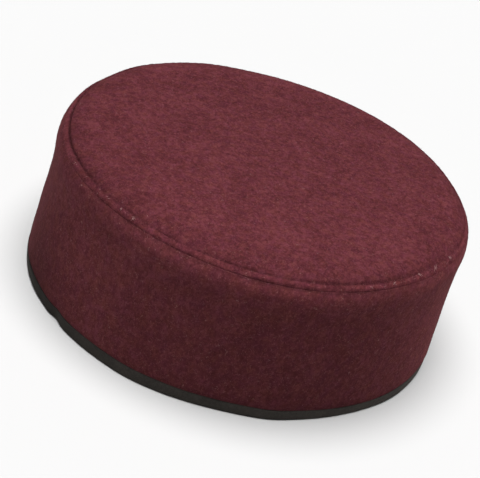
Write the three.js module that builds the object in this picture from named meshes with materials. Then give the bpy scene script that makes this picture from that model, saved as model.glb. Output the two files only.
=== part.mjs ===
// A kufi: a brimless oval cap of wool felt, with a top, a side band and a dark binding at the lower edge.
// Millimetres, +Z up, the oval's long way along X, the origin under its middle on what the cap rests on.
import * as THREE from "three";

// Driving dimensions. The rim oval is the outside of the felt at the top of the wall.
const RIM_LENGTH = 197;
const RIM_WIDTH = 177.3;
const WALL_HEIGHT = 70;
const TOP_HEIGHT = 79.3;
const BASE_FLARE = 2.4;
const FELT = 2.4;
const GAP = 0.3;
const SEGMENTS = 80;

// The seam between top and band, and the topstitch line above it: inset from the rim oval, and height.
const SEAM = { inset: 1.03, z: 72.65 };
const STITCH = { inset: 3.3, z: 75.2 };
const CUT_EDGE_DEPTH = 0.8;

// The binding: the height of its two legs, its cloth, how far it stands out of the felt, and its fold.
const BINDING_OUTER_LEG = 6.2;
const BINDING_INNER_LEG = 7.6;
const BINDING_CLOTH = 0.6;
const BINDING_PROUD = 0.1;
const BINDING_FOLD_RADIUS = 1;
const BINDING_FOLD_STEPS = 3;
const PINCHED_FELT = 1.4;

// How the sewn plan strays from a true oval: waves round the cap, their size and turn at rim and base.
const PLAN_WAVES = [
  { waves: 3, rimSize: 0.29, rimTurn: 8, baseSize: 0.48, baseTurn: -3 },
  { waves: 4, rimSize: 0.25, rimTurn: 28, baseSize: 0.22, baseTurn: -12 },
  { waves: 5, rimSize: 0.37, rimTurn: -11, baseSize: 0.08, baseTurn: 14 },
];

// The dome of the top: share of the pillow's inner oval, and share of the rise from there to the middle.
const DOME_ROWS = [
  { share: 0.3, rise: 0.91 },
  { share: 0.6, rise: 0.64 },
  { share: 0.85, rise: 0.28 },
];

// The edge of the top as it sinks into the topstitch groove: inset from the rim oval, and height.
const PILLOW_ROWS = [
  { inset: 15, z: 78.3 },
  { inset: 8.5, z: 77.45 },
  { inset: 5.2, z: 76.35 },
  { inset: 4.1, z: 75.7 },
];

// The ridge between topstitch and seam: distance above the seam along its slope, and height out of it.
const RIDGE_ROWS = [
  { above: 2.7, height: 0.35 },
  { above: 1.7, height: 0.46 },
  { above: 0.8, height: 0.22 },
  { above: 0.35, height: -0.2 },
];

// The underside of the top beside its cut edge: inset from the rim oval, and height.
const UNDER_ROWS = [
  { inset: 5.9, z: 73.9 },
  { inset: 9.5, z: 75.2 },
];

// The lip of the band under the seam: distance below the seam along its slope, and height out of it.
const LIP_ROWS = [
  { below: 0.35, height: -0.25 },
  { below: 1, height: -0.08 },
];

// The wall from the lip down to the binding: height, and how far the felt bulges out of the straight flare.
const WALL_ROWS = [
  { z: 71.25, bulge: -0.08 },
  { z: 69.5, bulge: 0.4 },
  { z: 67.5, bulge: 0.62 },
  { z: 65.5, bulge: 0.63 },
  { z: 62, bulge: 0.31 },
  { z: 57, bulge: -0.12 },
  { z: 50, bulge: -0.36 },
  { z: 38, bulge: -0.23 },
  { z: 28, bulge: -0.02 },
  { z: 18, bulge: 0.12 },
  { z: 9, bulge: 0.29 },
  { z: 7.2, bulge: 0.15 },
];

// The heights of the rows on the inside of the band.
const INSIDE_HEIGHTS = [8.2, 36, 66];

// The rounded end of a binding leg: distance below its top, and depth in from its outer face.
const LEG_END_ROWS = [
  { below: 0.8, depth: 0 },
  { below: 0.25, depth: 0.08 },
  { below: 0, depth: 0.3 },
  { below: 0.1, depth: BINDING_CLOTH },
];

// How far the straight flare of the wall stands out from the rim oval at a height.
const flare = (z) => BASE_FLARE * (1 - z / WALL_HEIGHT);

// A plan point of the rim oval, moved out along the oval's normal and by the plan's waves at that height.
function ovalPoint(turn, outset, z) {
  const halfLength = RIM_LENGTH / 2;
  const halfWidth = RIM_WIDTH / 2;
  const normal = new THREE.Vector2(Math.cos(turn) / halfLength, Math.sin(turn) / halfWidth).normalize();
  const climb = THREE.MathUtils.clamp(z / WALL_HEIGHT, 0, 1);
  let move = outset;
  for (const { waves, rimSize, rimTurn, baseSize, baseTurn } of PLAN_WAVES) {
    const atRim = rimSize * Math.cos(waves * (turn - THREE.MathUtils.degToRad(rimTurn)));
    const atBase = baseSize * Math.cos(waves * (turn - THREE.MathUtils.degToRad(baseTurn)));
    move += THREE.MathUtils.lerp(atBase, atRim, climb);
  }
  const oval = new THREE.Vector2(halfLength * Math.cos(turn), halfWidth * Math.sin(turn));
  return oval.addScaledVector(normal, move);
}

// One ring of the cap: the oval at an outset and a height, drawn in towards the middle by a share.
function ring({ outset, z, share = 1 }) {
  return Array.from({ length: SEGMENTS }, (_, step) => {
    const plan = ovalPoint((step / SEGMENTS) * 2 * Math.PI, outset, z).multiplyScalar(share);
    return new THREE.Vector3(plan.x, plan.y, z);
  });
}

// A closed body swept round the oval, from a section that runs down the outside and up the inside.
// With middles, the section's two ends close on the axis at those heights. Without, it closes on itself.
function sweep(section, middles = null) {
  const rings = section.map(ring);
  const corners = rings.flat();
  const faces = [];
  const at = (row, step) => (row % rings.length) * SEGMENTS + (step % SEGMENTS);
  const strips = middles ? rings.length - 1 : rings.length;
  for (let row = 0; row < strips; row += 1) {
    for (let step = 0; step < SEGMENTS; step += 1) {
      faces.push(at(row, step), at(row + 1, step), at(row, step + 1));
      faces.push(at(row, step + 1), at(row + 1, step), at(row + 1, step + 1));
    }
  }
  if (middles) {
    const last = rings.length - 1;
    const outer = corners.push(new THREE.Vector3(0, 0, middles.outer)) - 1;
    const inner = corners.push(new THREE.Vector3(0, 0, middles.inner)) - 1;
    for (let step = 0; step < SEGMENTS; step += 1) {
      faces.push(outer, at(0, step), at(0, step + 1));
      faces.push(inner, at(last, step + 1), at(last, step));
    }
  }
  const geometry = new THREE.BufferGeometry().setFromPoints(corners);
  geometry.setIndex(faces);
  geometry.computeVertexNormals();
  return geometry;
}

// A section point beside the seam: along runs up the slope to the topstitch, depth runs into the cloth.
const slope = new THREE.Vector2(SEAM.inset - STITCH.inset, STITCH.z - SEAM.z).normalize();
const intoCloth = new THREE.Vector2(-slope.y, slope.x);
function besideSeam(along, depth) {
  const place = new THREE.Vector2(-SEAM.inset, SEAM.z);
  place.addScaledVector(slope, along).addScaledVector(intoCloth, depth);
  return { outset: place.x, z: place.y };
}

// The top: dome, pillow, groove and ridge out to the seam, the cut edge there, and the underside back.
function crownSection() {
  const edge = PILLOW_ROWS[0];
  const dome = DOME_ROWS.map(({ share, rise }) => ({
    outset: -edge.inset,
    z: THREE.MathUtils.lerp(edge.z, TOP_HEIGHT, rise),
    share,
  }));
  const pillow = PILLOW_ROWS.map(({ inset, z }) => ({ outset: -inset, z }));
  const groove = { outset: -STITCH.inset, z: STITCH.z };
  const ridge = RIDGE_ROWS.map(({ above, height }) => besideSeam(above, -height));
  const cutEdge = [besideSeam(GAP / 2, CUT_EDGE_DEPTH), besideSeam(GAP / 2, FELT)];
  const underEdge = UNDER_ROWS.map(({ inset, z }) => ({ outset: -inset, z }));
  const under = [...dome, pillow[0]].map((row) => ({ ...row, z: row.z - FELT })).reverse();
  return [...dome, ...pillow, groove, ...ridge, ...cutEdge, ...underEdge, ...under];
}

// The band: its lip at the seam, the wall, the edge pinched by the binding, the inside and the cut edge.
const PINCH_OUTSIDE = BINDING_CLOTH + GAP - BINDING_PROUD;
const PINCH_INSIDE = PINCH_OUTSIDE + PINCHED_FELT;

function bandSection() {
  const lip = LIP_ROWS.map(({ below, height }) => besideSeam(-below, -height));
  const wall = WALL_ROWS.map(({ z, bulge }) => ({ outset: flare(z) + bulge, z }));
  const stepZ = BINDING_OUTER_LEG + GAP;
  const footZ = BINDING_CLOTH + GAP;
  const pinched = [
    { outset: flare(stepZ) - PINCH_OUTSIDE, z: stepZ },
    { outset: flare(footZ) - PINCH_OUTSIDE, z: footZ },
    { outset: flare(footZ) - PINCH_INSIDE, z: footZ },
    { outset: flare(BINDING_INNER_LEG) - PINCH_INSIDE, z: BINDING_INNER_LEG },
  ];
  const inside = INSIDE_HEIGHTS.map((z) => ({ outset: flare(z) - FELT, z }));
  const cutEdge = [besideSeam(-GAP / 2, FELT), besideSeam(-GAP / 2, CUT_EDGE_DEPTH)];
  return [...lip, ...wall, ...pinched, ...inside, ...cutEdge];
}

// A quarter fold of the binding's lower edge about a centre line, between two turns in degrees.
function quarterFold(centre, from, to) {
  return Array.from({ length: BINDING_FOLD_STEPS + 1 }, (_, step) => {
    const turn = THREE.MathUtils.degToRad(THREE.MathUtils.lerp(from, to, step / BINDING_FOLD_STEPS));
    return {
      outset: flare(0) + centre + BINDING_FOLD_RADIUS * Math.cos(turn),
      z: BINDING_FOLD_RADIUS * (1 + Math.sin(turn)),
    };
  });
}

// The binding: a U of dark cloth round the lower edge, flat underneath where the cap stands on it.
function bindingSection() {
  const outside = BINDING_PROUD;
  const inside = -PINCH_INSIDE - GAP - BINDING_CLOTH;
  const outerEnd = LEG_END_ROWS.map(({ below, depth }) => ({
    outset: flare(BINDING_OUTER_LEG) + outside - depth,
    z: BINDING_OUTER_LEG - below,
  })).reverse();
  const innerEnd = LEG_END_ROWS.map(({ below, depth }) => ({
    outset: flare(BINDING_INNER_LEG) + inside + depth,
    z: BINDING_INNER_LEG - below,
  }));
  const underside = [
    ...quarterFold(outside - BINDING_FOLD_RADIUS, 0, -90),
    ...quarterFold(inside + BINDING_FOLD_RADIUS, -90, -180),
  ];
  const trough = [
    { outset: flare(BINDING_CLOTH) + inside + BINDING_CLOTH, z: BINDING_CLOTH },
    { outset: flare(BINDING_CLOTH) + outside - BINDING_CLOTH, z: BINDING_CLOTH },
  ];
  return [...outerEnd, ...underside, ...innerEnd, ...trough];
}

function piece(name, geometry, finish) {
  const mesh = new THREE.Mesh(geometry, new THREE.MeshStandardMaterial(finish));
  mesh.name = name;
  return mesh;
}

const felt = { color: 0x6a353b, roughness: 0.95, metalness: 0 };
const bindingCloth = { color: 0x2c302a, roughness: 0.8, metalness: 0 };

const kufi = new THREE.Group();
kufi.add(
  piece("crown_top", sweep(crownSection(), { outer: TOP_HEIGHT, inner: TOP_HEIGHT - FELT }), felt),
  piece("side_band", sweep(bandSection()), felt),
  piece("edge_binding", sweep(bindingSection()), bindingCloth),
);

export default kufi;
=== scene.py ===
# %% [markdown]
# A felt kufi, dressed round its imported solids.
# The real cap is three pieces of cloth: an oval top, an upright band sewn to it, and a dark binding folded
# round the lower edge. The solids of those three pieces come packed, at their real size, as a fixed frame.
# This lesson gives each of them a soft surface and a finish, then adds the thread and the nap that only
# show close by. Lengths are written in millimetres and turned into Blender's metres when a mesh is made.

import math

import bpy
import numpy as np
from mathutils import Matrix, Vector, noise


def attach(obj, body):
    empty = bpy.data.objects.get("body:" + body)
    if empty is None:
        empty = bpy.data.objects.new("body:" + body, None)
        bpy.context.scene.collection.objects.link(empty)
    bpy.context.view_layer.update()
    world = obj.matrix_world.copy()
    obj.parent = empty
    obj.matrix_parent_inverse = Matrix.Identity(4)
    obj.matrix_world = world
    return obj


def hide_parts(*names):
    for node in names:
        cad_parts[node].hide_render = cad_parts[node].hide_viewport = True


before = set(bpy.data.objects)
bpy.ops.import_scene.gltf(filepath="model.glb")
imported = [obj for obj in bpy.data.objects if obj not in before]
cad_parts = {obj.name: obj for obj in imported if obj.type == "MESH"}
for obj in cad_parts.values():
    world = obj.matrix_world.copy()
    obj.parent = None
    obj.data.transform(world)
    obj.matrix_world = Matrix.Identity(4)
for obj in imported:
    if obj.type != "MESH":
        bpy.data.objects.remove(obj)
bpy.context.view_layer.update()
MM = 0.001

# %% [markdown]
# The camera is measured from the photograph: its outline, seam and topstitch were fitted with a plain
# perspective camera, which gave the height it looks down from, a small turn to the left and a roll, because
# the cap stands tilted in the picture. A camera could also be aimed with a Track To constraint, but a
# constraint can't hold the roll and the sideways offset, so its three axes are written out as a matrix.

# %% Place the camera
CAMERA_ELEVATION = math.radians(34.01)
CAMERA_TURN = math.radians(-5.25)
CAMERA_ROLL = math.radians(18.21)
CAMERA_DISTANCE = 786.6
CAMERA_SLIDE = (5.67, 25.0)
CAMERA_LENS = 120.0
CAMERA_SENSOR = 36.0
CAMERA_CLIP = (0.05, 200.0)


def camera_axes(turn, elevation, roll):
    """The camera's right, up and backward directions, as rows."""
    level = math.cos(elevation)
    back = np.array([math.sin(turn) * level, -math.cos(turn) * level, math.sin(elevation)])
    right = np.array([math.cos(turn), math.sin(turn), 0.0])
    up = np.cross(back, right)
    rolled_right = math.cos(roll) * right + math.sin(roll) * up
    rolled_up = math.cos(roll) * up - math.sin(roll) * right
    return np.array([rolled_right, rolled_up, back])


axes = camera_axes(CAMERA_TURN, CAMERA_ELEVATION, CAMERA_ROLL)
camera_place = axes.T @ np.array([*CAMERA_SLIDE, CAMERA_DISTANCE]) * MM
camera_data = bpy.data.cameras.new("photo_camera")
camera_data.lens = CAMERA_LENS
camera_data.sensor_width = CAMERA_SENSOR
camera_data.clip_start, camera_data.clip_end = CAMERA_CLIP
camera = bpy.data.objects.new("photo_camera", camera_data)
camera.matrix_world = Matrix.Translation(Vector(camera_place)) @ Matrix(axes.T.tolist()).to_4x4()
bpy.context.scene.collection.objects.link(camera)
bpy.context.scene.camera = camera
print("camera at", camera_place.round(3))

# %% [markdown]
# Shader trees are long when every node is added and linked by hand. The small class below wraps one output
# socket, so that sums on values read as sums, and each of them adds a Math node. Any other node comes from
# its one method, which takes the node's type, its settings and its sockets.

# %% A wire for shader sums
class Wire:
    """One output socket of a shader tree, which can be used in sums."""

    def __init__(self, tree, socket=None):
        self.tree = tree
        self.socket = socket

    def node(self, kind, settings=None, sockets=None, output=0):
        """Adds a node, with its settings first and then the values or links of its sockets."""
        made = self.tree.nodes.new(kind)
        for name, value in (settings or {}).items():
            if name == "stops":
                ramp = made.color_ramp.elements
                while len(ramp) < len(value):
                    ramp.new(1.0)
                for stop, (place, colour) in zip(ramp, value):
                    stop.position = place
                    stop.color = (*colour, 1)
            else:
                setattr(made, name, value)
        for name, value in (sockets or {}).items():
            if isinstance(value, Wire):
                self.tree.links.new(value.socket, made.inputs[name])
            else:
                made.inputs[name].default_value = value
        return Wire(self.tree, made.outputs[output])

    def math(self, operation, first, second):
        """A sum on values."""
        return self.node("ShaderNodeMath", {"operation": operation}, {0: first, 1: second})

    def __add__(self, other):
        return self.math("ADD", self, other)

    def __radd__(self, other):
        return self.math("ADD", other, self)

    def __sub__(self, other):
        return self.math("SUBTRACT", self, other)

    def __rsub__(self, other):
        return self.math("SUBTRACT", other, self)

    def __mul__(self, other):
        return self.math("MULTIPLY", self, other)

    def __rmul__(self, other):
        return self.math("MULTIPLY", other, self)

    def vector_math(self, operation, first, second):
        """A sum on places or on colours."""
        return self.node("ShaderNodeVectorMath", {"operation": operation}, {0: first, 1: second})

    def spread(self, low, high):
        """The value stretched so that low becomes 0 and high becomes 1, and held between them."""
        sockets = {"Value": self, "From Min": low, "From Max": high}
        return self.node("ShaderNodeMapRange", {"clamp": True}, sockets)

    def colour_mix(self, share, first, second):
        """The first colour where share is 0, the second where it is 1."""
        sockets = {0: share, 6: first, 7: second}
        return self.node("ShaderNodeMix", {"data_type": "RGBA"}, sockets, output=2)

    def grain(self, place, size_mm, detail, roughness=0.5, distortion=0.0, offset=None):
        """Noise from 0 to 1 with features of about this size. Offsets keep two grains from lining up."""
        if offset:
            place = self.vector_math("ADD", place, offset)
        sockets = {"Vector": place, "Scale": 1 / (size_mm * MM), "Detail": detail}
        sockets |= {"Roughness": roughness, "Distortion": distortion}
        return self.node("ShaderNodeTexNoise", {}, sockets)


def new_finish(name):
    """A material with a Principled shader, and a wire to start its sums from."""
    finish = bpy.data.materials.new(name)
    finish.use_nodes = True
    return finish, finish.node_tree.nodes["Principled BSDF"], Wire(finish.node_tree)


def plug(wire, shader, socket):
    """Links a wire to one of the shader's sockets."""
    wire.tree.links.new(wire.socket, shader.inputs[socket])


def settle(shader, values):
    """Sets the shader's sockets that stay the same all over the surface."""
    for socket, value in values.items():
        shader.inputs[socket].default_value = value


print("wire ready")

# %% [markdown]
# The light in the picture is soft and comes from above: the top is about three times as bright as the side,
# the side is nearly even, and the ground is white. A lamp box over the table would do it near the cap, but
# far off the floor would turn grey. A sun with a wide disc lights the whole floor alike and still gives
# soft shadows. The floor is a mid grey lit to white, so that it doesn't throw too much light on the side.
# The sky is dim overhead and pale along the horizon, where it meets the floor in a low view.

# %% Floor and light
FLOOR_HALF = 40.0
FLOOR_GREY = (0.54, 0.54, 0.54, 1)
SUN_STRENGTH = 5.4
SUN_DISC = math.radians(44)
SUN_LEAN = math.radians(-3)
SKY_OVERHEAD = (0.05, 0.049, 0.048, 1)
SKY_HORIZON = (0.985, 0.978, 0.970, 1)
HORIZON_FADE = (0.09, 0.235)

scene = bpy.context.scene
scene.view_settings.view_transform = "Standard"
world = bpy.data.worlds.new("studio_sky")
world.use_nodes = True
sky = Wire(world.node_tree)
sky_way = sky.node("ShaderNodeTexCoord", output="Generated")
sky_climb = sky.node("ShaderNodeSeparateXYZ", {}, {0: sky_way}, output="Z").spread(*HORIZON_FADE)
plug(sky.colour_mix(sky_climb, SKY_HORIZON, SKY_OVERHEAD), world.node_tree.nodes["Background"], "Color")
scene.world = world

sun_data = bpy.data.lights.new("overhead_sun", "SUN")
sun_data.energy = SUN_STRENGTH
sun_data.angle = SUN_DISC
sun = bpy.data.objects.new("overhead_sun", sun_data)
sun.rotation_euler = (0, SUN_LEAN, 0)
scene.collection.objects.link(sun)

floor_mesh = bpy.data.meshes.new("floor")
floor_corners = [(FLOOR_HALF * x, FLOOR_HALF * y, 0) for x, y in ((-1, -1), (1, -1), (1, 1), (-1, 1))]
floor_mesh.from_pydata(floor_corners, [], [(0, 1, 2, 3)])
floor = bpy.data.objects.new("floor", floor_mesh)
scene.collection.objects.link(floor)
floor_paint, floor_shader, _ = new_finish("floor_paint")
settle(floor_shader, {"Base Color": FLOOR_GREY, "Roughness": 1.0, "Specular IOR Level": 0.0})
floor_mesh.materials.append(floor_paint)
print("sun", SUN_STRENGTH, "sky", SKY_OVERHEAD[0], "to", SKY_HORIZON[0])

# %% [markdown]
# The felt is maroon wool with a short, brushed nap. Close by it is heathered: paler pink and darker fibres
# lie matted among the maroon ones, and tone and hue drift a little from place to place. A picture of felt
# would give that at once, but it can't be kept with the part, so noise at several sizes builds it: soft
# drifts, a curled grain of about a millimetre, thin broken strands where a grain passes its middle value,
# and pale flecks. The place is scaled before the noise is read, which makes the band's grain coarser than
# the top's and draws it out a little up and down. A value kept on the mesh, mostly painted light and shade
# with a little real rub, makes the felt lighter or darker. The nap also catches light at grazing angles,
# which is what the shader's sheen is for.

# %% Felt finish
FELT_DEEP = (0.036, 0.0060, 0.0082, 1)
FELT_MID = (0.080, 0.0155, 0.0205, 1)
FELT_LIGHT = (0.146, 0.0335, 0.0425, 1)
FELT_STRAND = (0.175, 0.050, 0.058, 1)
FELT_PALE_FLECK = (0.250, 0.110, 0.115, 1)
FELT_WARM = (1.02, 1.05, 0.89)
FELT_COOL = (0.98, 0.95, 1.11)
# A grain has a size in millimetres, a detail, a roughness, a distortion and an offset.
FELT_GRAINS = {
    "drift": (16, 2),
    "mottle": (4.0, 2, 0.6, 0.0, (0.3, 0.1, 0.7)),
    "curl": (1.4, 3, 0.58, 0.8),
    "fine": (0.6, 4, 0.72, 0.6, (1.3, 0.4, 0.2)),
    "fuzz": (0.24, 2, 0.6, 1.6, (0.2, 1.7, 0.9)),
    "fleck": (0.8, 2, 0.5, 1.6, (0.7, 2.3, 1.1)),
    "hue": (3.6, 2, 0.6, 0.0, (2.1, 0.2, 0.5)),
}
FELT_TONE = {"curl": 1.25, "fine": 0.35, "fuzz": 0.18, "mottle": 0.6, "drift": 0.4}
FELT_HEIGHT = {"curl": 0.5, "fine": 0.35, "fuzz": 0.3}
DEEP_RANGE = (0.05, 0.55)
LIGHT_RANGE = (0.5, 1.05)
# Strands have an offset and a size.
DARK_STRANDS = ((1.9, 0.6, 0.4), 0.8)
PALE_STRANDS = ((0.9, 0.1, 2.2), 0.95)
STRAND_HALF = 0.028
STRAND_CURL = 0.9
BREAK_SIZE = 1.1
BREAK_RANGE = (0.44, 0.56)
STRAND_SHARE = 0.5
STRAND_HEIGHT = 0.12
FLECK_RANGE = (0.65, 0.75)
FLECK_SHARE = 0.5
HUE_RANGE = (0.3, 0.7)
FELT_ROUGHNESS = (0.9, 0.1)
FELT_BUMP = {"Strength": 0.55, "Distance": 0.4 * MM}
FELT_SURFACE = {
    "Specular IOR Level": 0.06, "Sheen Weight": 0.05, "Sheen Roughness": 0.45,
    "Sheen Tint": (0.90, 0.17, 0.19, 1),
}
CROWN_FELT = {"dye": (1.02, 1.12, 1.08), "heathered": 1.0, "streak": (0.92, 0.92, 0.6)}
BAND_FELT = {"dye": (0.96, 1.13, 1.04), "heathered": 0.68, "streak": (0.74, 0.74, 0.62)}


def strands(wire, place, offset, size_mm):
    """1 along thin winding lines, which a second grain breaks up, and 0 beside them."""
    place = wire.vector_math("ADD", place, offset)
    from_middle = wire.grain(place, size_mm, 1, distortion=STRAND_CURL) - 0.5
    lines = (from_middle * from_middle).spread(STRAND_HALF ** 2, 0)
    return lines * wire.grain(place, BREAK_SIZE * size_mm, 1, offset=offset).spread(*BREAK_RANGE)


def plug_painted_light_and_wear(colour, shader):
    """Links a base colour, made lighter or darker by the painted light and shade kept on the mesh."""
    painted_light_value = colour.node("ShaderNodeAttribute", {"attribute_name": "wear"}, output="Fac")
    sockets = {0: colour, "Scale": 1 + painted_light_value}
    plug(colour.node("ShaderNodeVectorMath", {"operation": "SCALE"}, sockets), shader, "Base Color")


def felt_finish(name, dye, heathered, streak):
    """Heathered felt in a dye, with its grain scaled by the streak."""
    finish, shader, wire = new_finish(name)
    place = wire.vector_math("MULTIPLY", wire.node("ShaderNodeTexCoord", output="Object"), streak)
    grains = {kind: wire.grain(place, *row) for kind, row in FELT_GRAINS.items()}
    dark = strands(wire, place, *DARK_STRANDS)
    pale = strands(wire, place, *PALE_STRANDS)
    tone = sum((grains[kind] - 0.5) * weight for kind, weight in FELT_TONE.items())
    tone = tone * heathered + 0.5
    colour = wire.colour_mix(tone.spread(*DEEP_RANGE), FELT_DEEP, FELT_MID)
    colour = wire.colour_mix(tone.spread(*LIGHT_RANGE), colour, FELT_LIGHT)
    colour = wire.colour_mix(dark * STRAND_SHARE, colour, FELT_DEEP)
    colour = wire.colour_mix(pale * STRAND_SHARE, colour, FELT_STRAND)
    colour = wire.colour_mix(grains["fleck"].spread(*FLECK_RANGE) * FLECK_SHARE, colour, FELT_PALE_FLECK)
    warm, cool = ((*[a * b for a, b in zip(cast, dye)], 1) for cast in (FELT_WARM, FELT_COOL))
    tint = wire.colour_mix(grains["hue"].spread(*HUE_RANGE), warm, cool)
    plug_painted_light_and_wear(wire.vector_math("MULTIPLY", colour, tint), shader)
    plug(FELT_ROUGHNESS[0] + grains["fine"] * FELT_ROUGHNESS[1], shader, "Roughness")
    height = sum(grains[kind] * weight for kind, weight in FELT_HEIGHT.items()) + pale * STRAND_HEIGHT
    plug(wire.node("ShaderNodeBump", {}, {**FELT_BUMP, "Height": height}), shader, "Normal")
    settle(shader, FELT_SURFACE)
    return finish


crown_paint = felt_finish("crown_felt_finish", **CROWN_FELT)
band_paint = felt_finish("band_felt_finish", **BAND_FELT)
print("felt finish with", len(crown_paint.node_tree.nodes), "nodes")

# %% [markdown]
# Seen from above the cap is an oval, a little wider at the foot than at the rim, and hand sewing leaves it
# slightly off a true oval: it has long waves, a few soft dents, and a small nick in the foot at the front
# left. Everything else is placed from this plan: a ring of points is the rim oval, moved out by an amount
# and lifted to a height. A Bezier circle could be scaled to an oval, but points worked out by a formula can
# also carry the waves and feed the loops that make the meshes.

# %% The plan of the cap
RIM_HALF_LENGTH = 98.5
RIM_HALF_WIDTH = 88.65
RIM_SAMPLES = 720
WALL_HEIGHT = 70.0
BASE_FLARE = 2.4
PLAN_WAVES = (
    {"waves": 3, "rim_size": 0.29, "rim_turn": 8, "base_size": 0.48, "base_turn": -3},
    {"waves": 4, "rim_size": 0.25, "rim_turn": 28, "base_size": 0.22, "base_turn": -12},
    {"waves": 5, "rim_size": 0.37, "rim_turn": -11, "base_size": 0.08, "base_turn": 14},
)
PLAN_DENTS = (
    {"turn": 17, "half": 15, "rim": -0.8, "base": 0.0},
    {"turn": 70, "half": 30, "rim": -0.35, "base": 0.0},
    {"turn": 112, "half": 7, "rim": 0.6, "base": 0.0},
    {"turn": 127, "half": 6, "rim": -0.6, "base": 0.0},
    {"turn": 151, "half": 9, "rim": -0.85, "base": 0.0},
    {"turn": 247, "half": 7, "rim": 0.0, "base": 0.6},
    {"turn": 270, "half": 7, "rim": 0.0, "base": -0.4},
    {"turn": 286, "half": 6, "rim": 0.0, "base": 0.7},
    {"turn": 310, "half": 13, "rim": 0.0, "base": -0.5},
)
FOOT_NICK = {"turn": 219.8, "half": 2.4, "depth": 1.2, "height": 13.0}


def hump(distance, half):
    """1 where the distance is nothing, falling softly to nearly 0 at twice the half width."""
    return np.exp(-((distance / half) ** 2))


def flare(z):
    """How far the wall stands out from the rim oval at a height."""
    return BASE_FLARE * (1 - z / WALL_HEIGHT)


def oval(turn, outset, z):
    """Points of the oval at these turns, moved out along its normal, as an array of x, y and z."""
    turn, outset, z = np.broadcast_arrays(turn, outset, z)
    across = np.stack([np.cos(turn) / RIM_HALF_LENGTH, np.sin(turn) / RIM_HALF_WIDTH], -1)
    across /= np.linalg.norm(across, axis=-1, keepdims=True)
    climb = np.clip(z / WALL_HEIGHT, 0, 1)
    move = outset.astype(float)
    for row in PLAN_WAVES:
        at_rim = row["rim_size"] * np.cos(row["waves"] * (turn - math.radians(row["rim_turn"])))
        at_base = row["base_size"] * np.cos(row["waves"] * (turn - math.radians(row["base_turn"])))
        move = move + at_base + (at_rim - at_base) * climb
    for row in PLAN_DENTS:
        away = (np.degrees(turn) - row["turn"] + 180) % 360 - 180
        size = row["base"] + (row["rim"] - row["base"]) * climb
        move = move + size * hump(away, row["half"])
    nick = hump(np.degrees(turn) - FOOT_NICK["turn"], FOOT_NICK["half"])
    move = move - FOOT_NICK["depth"] * nick * np.clip(1 - z / FOOT_NICK["height"], 0, 1)
    plan = np.stack([RIM_HALF_LENGTH * np.cos(turn), RIM_HALF_WIDTH * np.sin(turn)], -1)
    plan = plan + across * move[..., None]
    return np.concatenate([plan, z[..., None]], -1)


def turns(count):
    """Even turns round the cap, in radians."""
    return np.arange(count) * (2 * math.pi / count)


def round_the_cap(rows, turn):
    """A value at each turn, from a table of degrees and values, with straight passages between its rows."""
    return np.interp(np.degrees(turn), *zip(*rows), period=360)


def run_along(points):
    """The length of a line of points, from its start to each of them."""
    steps = np.linalg.norm(np.diff(points, axis=0), axis=1)
    return np.concatenate([[0], np.cumsum(steps)])


RIM_ROUND = run_along(oval(np.linspace(0, 2 * math.pi, RIM_SAMPLES + 1), 0.0, WALL_HEIGHT))[-1]


def ring_noise(turn, reach, level):
    """Smooth noise, from about -1 to 1, on a circle of this radius and level, so that its ends meet."""
    places = np.stack(np.broadcast_arrays(reach * np.cos(turn), reach * np.sin(turn), level), -1)
    return np.array([noise.noise(Vector(place)) for place in places])


def uneven(turn, rows):
    """Unevenness round the cap, from rows of a size, the length of a swell in millimetres and a level."""
    reach = RIM_ROUND / (2 * math.pi)
    return sum(size * ring_noise(turn, reach / swell, level) for size, swell, level in rows)


print("round the rim", round(RIM_ROUND, 1), "mm")

# %% [markdown]
# Each piece of cloth is drawn as a section, a line of a few points that runs down its outer face and back
# up the inside. A smooth curve through those points is cut into even steps, and each step becomes one ring
# of the mesh. The seam has two directions of its own, along its slope and into the cloth, because both the
# top and the band roll into it there. The seam isn't open all the way: it shows as a row of strokes, and
# between them and at the sides the felt has filled it, so the rings beside it are lifted by a fill that
# changes round the cap. A boolean cut would leave the same sharp slot everywhere.

# %% Sections
CAP_ROUND = 768
CURVE_STEPS = 24
FELT_THICK = 2.4
SEAM = np.array([-1.03, 72.65])
STITCH = np.array([-3.3, 75.2])
TOP_HEIGHT = 79.3
SEAM_HALF_GAP = 0.012
SEAM_DEPTH = 0.14
SEAM_REACH = 1.3
SEAM_FILL = (
    (0, 0.44), (15, 0.30), (30, 0.12), (48, 0.03), (60, 0.16), (72, 0.04), (96, 0.02), (106, 0.18),
    (118, 0.05), (140, 0.06), (152, 0.22), (164, 0.36), (180, 0.36), (195, 0.32), (207, 0.28), (215, 0.20),
    (219, 0.08), (235, 0.05), (239, 0.20), (246, 0.18), (249, 0.05), (257, 0.05), (261, 0.19), (266, 0.19),
    (270, 0.02), (285, 0.02), (288, 0.20), (294, 0.20), (297, 0.04), (308, 0.08), (312, 0.28), (318, 0.42),
    (326, 0.50), (345, 0.52),
)
FILL_SWELLS = ((0.24, 7.0, 7.7), (0.09, 2.2, 3.1))
FILL_RANGE = (-0.16, 0.54)
FILL_CLOSED = 0.34

slope = (STITCH - SEAM) / np.linalg.norm(STITCH - SEAM)
into_cloth = np.array([-slope[1], slope[0]])


def beside_seam(along, depth):
    """A section point: along runs up the slope from the seam, depth runs into the cloth."""
    return SEAM + slope * along + into_cloth * depth


ring_turns = turns(CAP_ROUND)
seam_filled = np.clip(round_the_cap(SEAM_FILL, ring_turns) + uneven(ring_turns, FILL_SWELLS), *FILL_RANGE)


def seam_ring(row):
    """A ring beside the seam, lifted out of it where the felt fills it."""
    above = abs(float((row - SEAM) @ slope))
    lift = seam_filled * max(0.0, 1 - above / SEAM_REACH)
    return oval(ring_turns, row[0] - into_cloth[0] * lift, row[1] - into_cloth[1] * lift)


def seam_open(turn):
    """1 where the seam stands open, 0 where the felt has closed it."""
    filled = np.interp(turn, ring_turns, seam_filled, period=2 * math.pi)
    return np.maximum(1 - filled / FILL_CLOSED, 0)


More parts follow.
